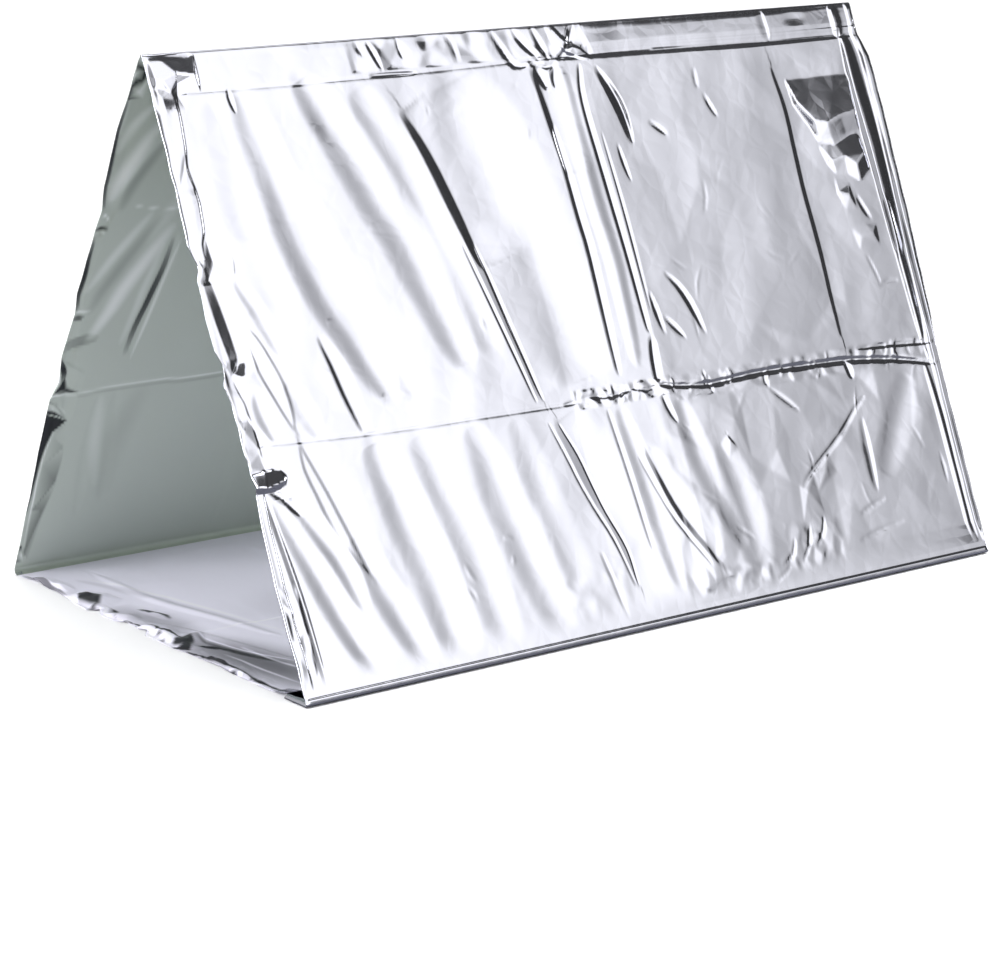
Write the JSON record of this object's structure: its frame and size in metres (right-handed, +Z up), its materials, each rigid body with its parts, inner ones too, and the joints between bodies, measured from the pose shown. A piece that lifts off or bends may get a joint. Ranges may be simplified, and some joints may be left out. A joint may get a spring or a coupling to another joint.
{
  "type": "emergency foil blanket pitched as a shelter",
  "caption": "Crinkled aluminised film blanket pitched as a low A-frame tube shelter, with two sloping sides, a floor, a rolled hem round the open end and a folded base edge.",
  "frame": {"origin": "middle of the floor's underside, on the surface that the shelter stands on", "axes": "+X along the ridge from the open hemmed end to the far end, +Y from the near side to the far side, +Z up"},
  "size_m": [1.06, 0.6261, 0.6681],
  "materials": {
    "foil": "bright aluminised polyester film, creased, mirror-like outside and a little greyer inside"
  },
  "bodies": {
    "root": {"foil_sheet": "foil"}
  },
  "joints": []
}
